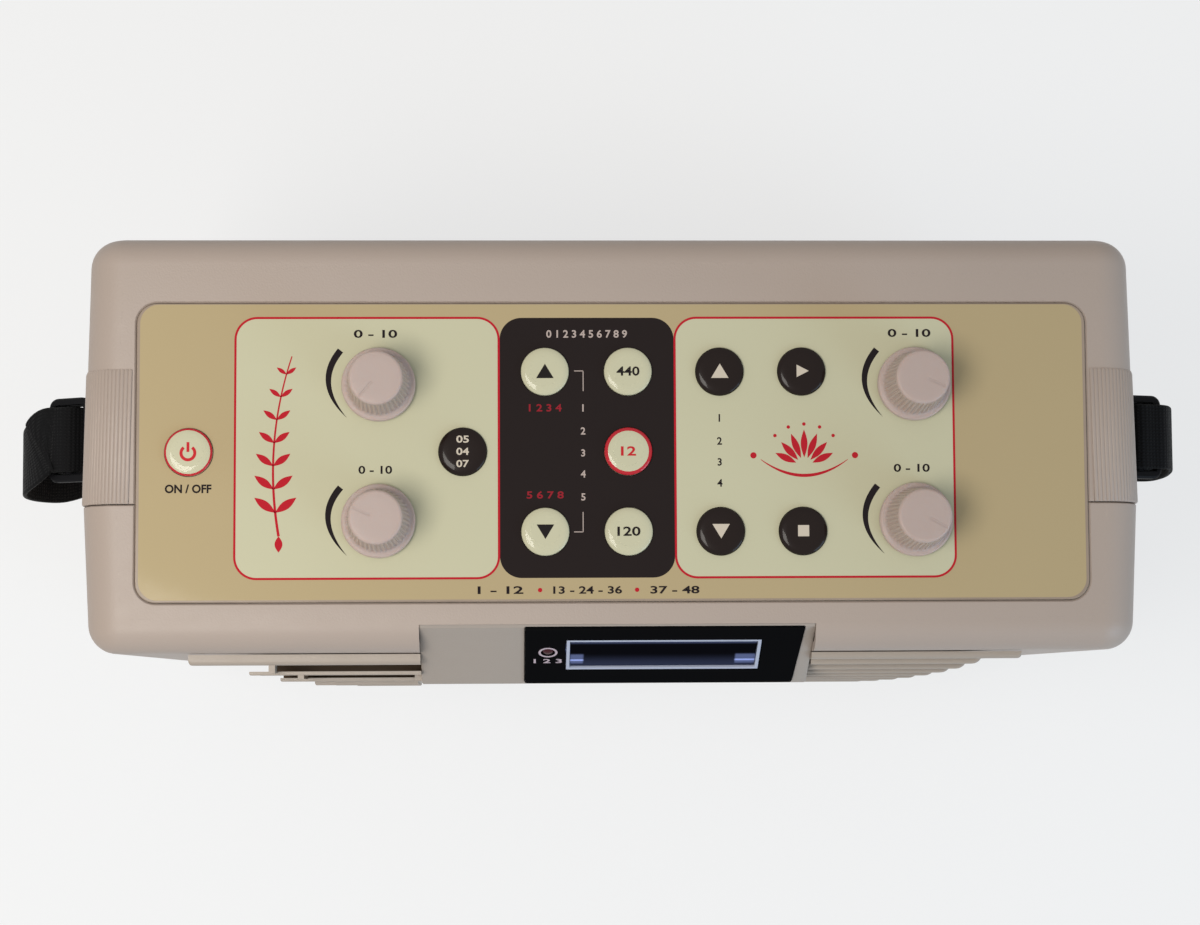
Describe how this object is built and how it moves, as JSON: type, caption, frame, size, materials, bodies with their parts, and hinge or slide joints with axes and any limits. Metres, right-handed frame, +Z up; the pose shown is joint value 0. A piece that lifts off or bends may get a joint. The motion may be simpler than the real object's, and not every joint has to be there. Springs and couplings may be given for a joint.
{
  "type": "electronic tanpura",
  "caption": "Portable electronic drone instrument with a rounded case, a top panel of keys and knobs, a sloped front display, louvred speakers and a shoulder strap.",
  "frame": {"origin": "on the floor under the middle of the whole unit, strap included", "axes": "+Z up, -Y towards the display and speakers, +X to the right of someone facing the display"},
  "size_m": [0.3614, 0.1336, 0.2292],
  "materials": {
    "casing": "fine matte moulding, warm beige",
    "panel": "clear sheet over a tan, cream and dark brown back print",
    "pale_key": "glossy, cream",
    "dark_key": "glossy, dark brown",
    "knob": "satin, pinkish beige",
    "shaft": "turned",
    "pot": "plated can",
    "board": "green solder mask",
    "lens": "polished black",
    "display_frame": "pale grey",
    "display": "dark glass-like front",
    "lamp": "deep red",
    "speaker_frame": "grey",
    "cone": "black pulp",
    "black_plastic": "satin, black",
    "webbing": "woven, black",
    "foot": "matt, black",
    "screw": "plated",
    "transformer": "varnished laminations",
    "cable": "grey ribbon"
  },
  "bodies": {
    "casing": {"front_shell": "casing", "rear_shell": "casing", "display_bezel": "casing", "left_grille": "casing", "right_grille": "casing", "left_side_band": "casing", "right_side_band": "casing", "control_panel": "panel", "drone_volume_pot": "pot", "drone_tone_pot": "pot", "drum_volume_pot": "pot", "drum_bass_pot": "pot", "key_board": "board", "main_board": "board", "display_lens": "lens", "display_frame": "display_frame", "display_module": "display", "tempo_lamp": "lamp", "left_speaker_frame": "speaker_frame", "right_speaker_frame": "speaker_frame", "left_strap_anchor": "black_plastic", "right_strap_anchor": "black_plastic", "left_buckle": "black_plastic", "right_buckle": "black_plastic", "strap": "webbing", "socket_plate": "black_plastic", "mains_inlet": "black_plastic", "output_jack": "black_plastic", "transformer": "transformer", "flat_cable": "cable", "foot_1": "foot", "case_screw_1": "screw", "foot_2": "foot", "case_screw_2": "screw", "foot_3": "foot", "case_screw_3": "screw", "foot_4": "foot", "case_screw_4": "screw"},
    "power_key": {"power_key": "pale_key"},
    "mode_key": {"mode_key": "dark_key"},
    "style_up_key": {"style_up_key": "pale_key"},
    "style_down_key": {"style_down_key": "pale_key"},
    "pitch_key": {"pitch_key": "pale_key"},
    "memory_key": {"memory_key": "pale_key"},
    "tempo_key": {"tempo_key": "pale_key"},
    "rhythm_up_key": {"rhythm_up_key": "dark_key"},
    "rhythm_down_key": {"rhythm_down_key": "dark_key"},
    "start_key": {"start_key": "dark_key"},
    "stop_key": {"stop_key": "dark_key"},
    "drone_volume_knob": {"drone_volume_knob": "knob", "drone_volume_shaft": "shaft"},
    "drone_tone_knob": {"drone_tone_knob": "knob", "drone_tone_shaft": "shaft"},
    "drum_volume_knob": {"drum_volume_knob": "knob", "drum_volume_shaft": "shaft"},
    "drum_bass_knob": {"drum_bass_knob": "knob", "drum_bass_shaft": "shaft"},
    "left_speaker_cone": {"left_speaker_cone": "cone"},
    "right_speaker_cone": {"right_speaker_cone": "cone"}
  },
  "joints": [
    {"name": "power_key_press", "type": "slide", "parent": "casing", "child": "power_key", "axis": [0, 0, -1], "range_m": [0, 0.0007], "stiffness_N_per_m": 1500, "springref_m": -0.0003},
    {"name": "mode_key_press", "type": "slide", "parent": "casing", "child": "mode_key", "axis": [0, 0, -1], "range_m": [0, 0.0007], "stiffness_N_per_m": 1500, "springref_m": -0.0003},
    {"name": "style_up_key_press", "type": "slide", "parent": "casing", "child": "style_up_key", "axis": [0, 0, -1], "range_m": [0, 0.0007], "stiffness_N_per_m": 1500, "springref_m": -0.0003},
    {"name": "style_down_key_press", "type": "slide", "parent": "casing", "child": "style_down_key", "axis": [0, 0, -1], "range_m": [0, 0.0007], "stiffness_N_per_m": 1500, "springref_m": -0.0003},
    {"name": "pitch_key_press", "type": "slide", "parent": "casing", "child": "pitch_key", "axis": [0, 0, -1], "range_m": [0, 0.0007], "stiffness_N_per_m": 1500, "springref_m": -0.0003},
    {"name": "memory_key_press", "type": "slide", "parent": "casing", "child": "memory_key", "axis": [0, 0, -1], "range_m": [0, 0.0007], "stiffness_N_per_m": 1500, "springref_m": -0.0003},
    {"name": "tempo_key_press", "type": "slide", "parent": "casing", "child": "tempo_key", "axis": [0, 0, -1], "range_m": [0, 0.0007], "stiffness_N_per_m": 1500, "springref_m": -0.0003},
    {"name": "rhythm_up_key_press", "type": "slide", "parent": "casing", "child": "rhythm_up_key", "axis": [0, 0, -1], "range_m": [0, 0.0007], "stiffness_N_per_m": 1500, "springref_m": -0.0003},
    {"name": "rhythm_down_key_press", "type": "slide", "parent": "casing", "child": "rhythm_down_key", "axis": [0, 0, -1], "range_m": [0, 0.0007], "stiffness_N_per_m": 1500, "springref_m": -0.0003},
    {"name": "start_key_press", "type": "slide", "parent": "casing", "child": "start_key", "axis": [0, 0, -1], "range_m": [0, 0.0007], "stiffness_N_per_m": 1500, "springref_m": -0.0003},
    {"name": "stop_key_press", "type": "slide", "parent": "casing", "child": "stop_key", "axis": [0, 0, -1], "range_m": [0, 0.0007], "stiffness_N_per_m": 1500, "springref_m": -0.0003},
    {"name": "drone_volume_turn", "type": "hinge", "parent": "casing", "child": "drone_volume_knob", "pos_m": [-0.06541, 0.01858, 0.21], "axis": [0, 0, 1], "range_deg": [-289.3, 10.7]},
    {"name": "drone_tone_turn", "type": "hinge", "parent": "casing", "child": "drone_tone_knob", "pos_m": [-0.06541, -0.02042, 0.21], "axis": [0, 0, 1], "range_deg": [-217.2, 82.8]},
    {"name": "drum_volume_turn", "type": "hinge", "parent": "casing", "child": "drum_volume_knob", "pos_m": [0.08809, 0.01858, 0.21], "axis": [0, 0, 1], "range_deg": [-37.3, 262.7]},
    {"name": "drum_bass_turn", "type": "hinge", "parent": "casing", "child": "drum_bass_knob", "pos_m": [0.08809, -0.02042, 0.21], "axis": [0, 0, 1], "range_deg": [-31.6, 268.4]},
    {"name": "left_cone_travel", "type": "slide", "parent": "casing", "child": "left_speaker_cone", "axis": [0, 1, 0], "range_m": [-0.0008, 0.0008], "stiffness_N_per_m": 1200},
    {"name": "right_cone_travel", "type": "slide", "parent": "casing", "child": "right_speaker_cone", "axis": [0, 1, 0], "range_m": [-0.0008, 0.0008], "stiffness_N_per_m": 1200}
  ]
}
